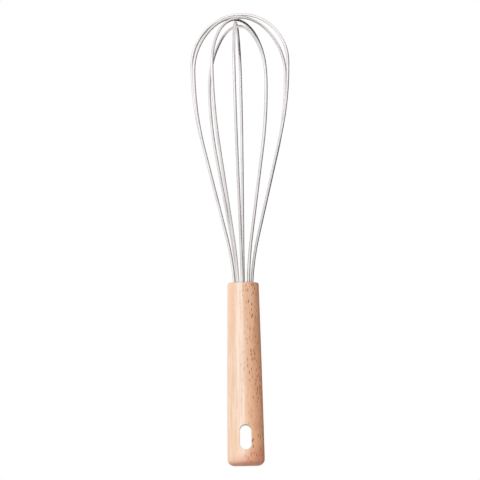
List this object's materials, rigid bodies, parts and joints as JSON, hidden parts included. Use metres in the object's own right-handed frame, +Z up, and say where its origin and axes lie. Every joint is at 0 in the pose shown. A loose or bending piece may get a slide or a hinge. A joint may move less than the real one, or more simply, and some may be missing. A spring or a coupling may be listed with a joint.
{
  "type": "balloon whisk",
  "caption": "Hand whisk with a tapered wooden handle, an oblong hang hole and a balloon of nested steel wire loops.",
  "frame": {"origin": "centre of the flat butt end of the handle", "axes": "+Z up the handle to the crown of the balloon, -Y the side the hang hole is seen from, +X to the right from there"},
  "size_m": [0.0613, 0.0577, 0.28],
  "materials": {
    "beech": "smooth, oiled satin",
    "wire_steel": "bright drawn wire",
    "core_wood": "raw",
    "ring_steel": "plain",
    "resin": "cured, glossy"
  },
  "bodies": {
    "root": {"handle": "beech", "wire_loop_1": "wire_steel", "wire_loop_2": "wire_steel", "wire_loop_3": "wire_steel", "wire_loop_4": "wire_steel", "wire_loop_5": "wire_steel", "leg_plug": "core_wood", "binding_ring": "ring_steel", "potting_resin": "resin"}
  },
  "joints": []
}
